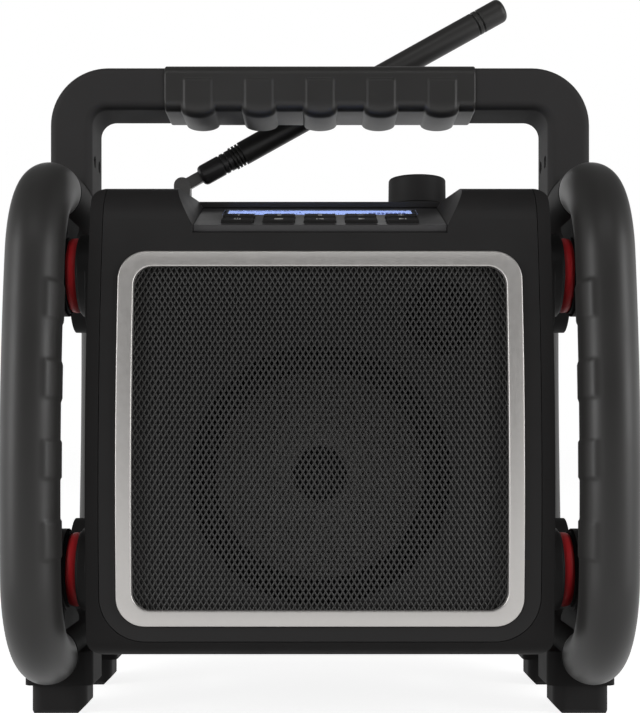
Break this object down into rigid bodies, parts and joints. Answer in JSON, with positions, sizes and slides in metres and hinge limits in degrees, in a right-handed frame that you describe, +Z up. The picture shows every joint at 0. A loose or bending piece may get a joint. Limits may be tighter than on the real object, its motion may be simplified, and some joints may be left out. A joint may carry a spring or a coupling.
{
  "type": "jobsite radio",
  "caption": "Rugged jobsite radio: bow-fronted cabinet on red rubber buffers between two tubular side cages, with a carrying handle, perforated grille, key panel, knob and tilting antenna.",
  "frame": {"origin": "on the ground, in the middle of the footprint of the two side cages", "axes": "+X to the right seen from the front, +Y from the grille towards the back, +Z up"},
  "size_m": [0.28, 0.2219, 0.3691],
  "materials": {
    "black_abs": "moulded, fine grained",
    "fascia_abs": "moulded, satin",
    "handle_plastic": "moulded, fine grained",
    "bumper_rubber": "moulded, soft sheen",
    "seal_rubber": "matte",
    "red_rubber": "moulded, matte",
    "silver_trim": "silver paint, satin",
    "grille_steel": "black powder coat",
    "speaker_paper": "pressed cone, matte",
    "lens": "clear, polished",
    "lcd": "backlit display",
    "circuit_board": "solder resist",
    "plated_steel": "nickel plated",
    "cage_steel": "black paint",
    "zinc_steel": "zinc plated",
    "brass": "plated",
    "white_nylon": "moulded"
  },
  "bodies": {
    "radio": {"front_shell": "black_abs", "rear_shell": "black_abs", "shell_seal": "seal_rubber", "fascia": "fascia_abs", "trim_frame": "silver_trim", "speaker_grille": "grille_steel", "woofer_basket": "grille_steel", "woofer_surround": "seal_rubber", "woofer_cone": "speaker_paper", "dust_cap": "speaker_paper", "woofer_magnet": "grille_steel", "tweeter_flange": "black_abs", "tweeter_dome": "speaker_paper", "tweeter_magnet": "grille_steel", "control_panel": "fascia_abs", "lcd_window": "lens", "lcd_module": "lcd", "keypad_board": "circuit_board", "encoder_body": "zinc_steel", "main_board": "circuit_board", "battery_tray": "black_abs", "battery_contacts": "brass", "hinge_pins": "zinc_steel", "power_inlet": "black_abs", "socket_plate": "black_abs", "handle": "handle_plastic", "grip_sleeve": "bumper_rubber", "cage_tubes": "cage_steel", "upper_arm_left": "black_abs", "upper_arm_right": "black_abs", "lower_arm_left": "black_abs", "lower_arm_right": "black_abs", "bumper_front_left": "bumper_rubber", "bumper_front_right": "bumper_rubber", "bumper_rear_left": "bumper_rubber", "bumper_rear_right": "bumper_rubber", "rubber_buffers": "red_rubber", "buffer_cups": "fascia_abs", "cage_bolts": "zinc_steel", "rubber_feet": "bumper_rubber", "antenna_base": "black_abs"},
    "antenna_turret": {"antenna_turret": "plated_steel", "antenna_pin": "plated_steel"},
    "antenna_mast": {"antenna_collar": "plated_steel", "antenna_rod": "bumper_rubber"},
    "encoder_rotor": {"encoder_rotor": "white_nylon"},
    "knob": {"encoder_shaft": "zinc_steel", "volume_knob": "fascia_abs"},
    "battery_door": {"battery_door": "black_abs"},
    "socket_flap": {"socket_flap": "seal_rubber"},
    "key_1": {"key_1": "black_abs"},
    "key_2": {"key_2": "black_abs"},
    "key_3": {"key_3": "black_abs"},
    "key_4": {"key_4": "black_abs"},
    "key_5": {"key_5": "black_abs"},
    "key_6": {"key_6": "black_abs"},
    "key_7": {"key_7": "black_abs"},
    "key_8": {"key_8": "black_abs"},
    "key_9": {"key_9": "black_abs"},
    "key_10": {"key_10": "black_abs"}
  },
  "joints": [
    {"name": "antenna_swivel", "type": "hinge", "parent": "radio", "child": "antenna_turret", "pos_m": [-0.0745, 0.04, 0.2678], "axis": [0, 0, 1], "range_deg": [0, 180]},
    {"name": "antenna_tilt", "type": "hinge", "parent": "antenna_turret", "child": "antenna_mast", "pos_m": [-0.0745, 0.04, 0.2678], "axis": [0, -1, 0], "range_deg": [-29, 61]},
    {"name": "knob_turn", "type": "hinge", "parent": "radio", "child": "encoder_rotor", "pos_m": [0.0497, 0, 0.24], "axis": [0, 0, 1], "continuous": true},
    {"name": "knob_push", "type": "slide", "parent": "encoder_rotor", "child": "knob", "axis": [0, 0, -1], "range_m": [0, 0.0006], "stiffness_N_per_m": 1500, "springref_m": -0.001},
    {"name": "battery_door_hinge", "type": "hinge", "parent": "radio", "child": "battery_door", "pos_m": [0, 0.0932, 0.0484], "axis": [-1, 0, 0], "range_deg": [0, 105]},
    {"name": "socket_flap_hinge", "type": "hinge", "parent": "radio", "child": "socket_flap", "pos_m": [0.0369, 0.0925, 0.152], "axis": [0, 0, 1], "range_deg": [0, 110]},
    {"name": "key_1_press", "type": "slide", "parent": "radio", "child": "key_1", "axis": [0, 0.309, -0.9511], "range_m": [0, 0.0006], "stiffness_N_per_m": 800, "springref_m": -0.0015},
    {"name": "key_2_press", "type": "slide", "parent": "radio", "child": "key_2", "axis": [0, 0.309, -0.9511], "range_m": [0, 0.0006], "stiffness_N_per_m": 800, "springref_m": -0.0015},
    {"name": "key_3_press", "type": "slide", "parent": "radio", "child": "key_3", "axis": [0, 0.309, -0.9511], "range_m": [0, 0.0006], "stiffness_N_per_m": 800, "springref_m": -0.0015},
    {"name": "key_4_press", "type": "slide", "parent": "radio", "child": "key_4", "axis": [0, 0.309, -0.9511], "range_m": [0, 0.0006], "stiffness_N_per_m": 800, "springref_m": -0.0015},
    {"name": "key_5_press", "type": "slide", "parent": "radio", "child": "key_5", "axis": [0, 0.309, -0.9511], "range_m": [0, 0.0006], "stiffness_N_per_m": 800, "springref_m": -0.0015},
    {"name": "key_6_press", "type": "slide", "parent": "radio", "child": "key_6", "axis": [0, 0.309, -0.9511], "range_m": [0, 0.0006], "stiffness_N_per_m": 800, "springref_m": -0.0015},
    {"name": "key_7_press", "type": "slide", "parent": "radio", "child": "key_7", "axis": [0, 0.309, -0.9511], "range_m": [0, 0.0006], "stiffness_N_per_m": 800, "springref_m": -0.0015},
    {"name": "key_8_press", "type": "slide", "parent": "radio", "child": "key_8", "axis": [0, 0.309, -0.9511], "range_m": [0, 0.0006], "stiffness_N_per_m": 800, "springref_m": -0.0015},
    {"name": "key_9_press", "type": "slide", "parent": "radio", "child": "key_9", "axis": [0, 0.309, -0.9511], "range_m": [0, 0.0006], "stiffness_N_per_m": 800, "springref_m": -0.0015},
    {"name": "key_10_press", "type": "slide", "parent": "radio", "child": "key_10", "axis": [0, 0.309, -0.9511], "range_m": [0, 0.0006], "stiffness_N_per_m": 800, "springref_m": -0.0015}
  ]
}
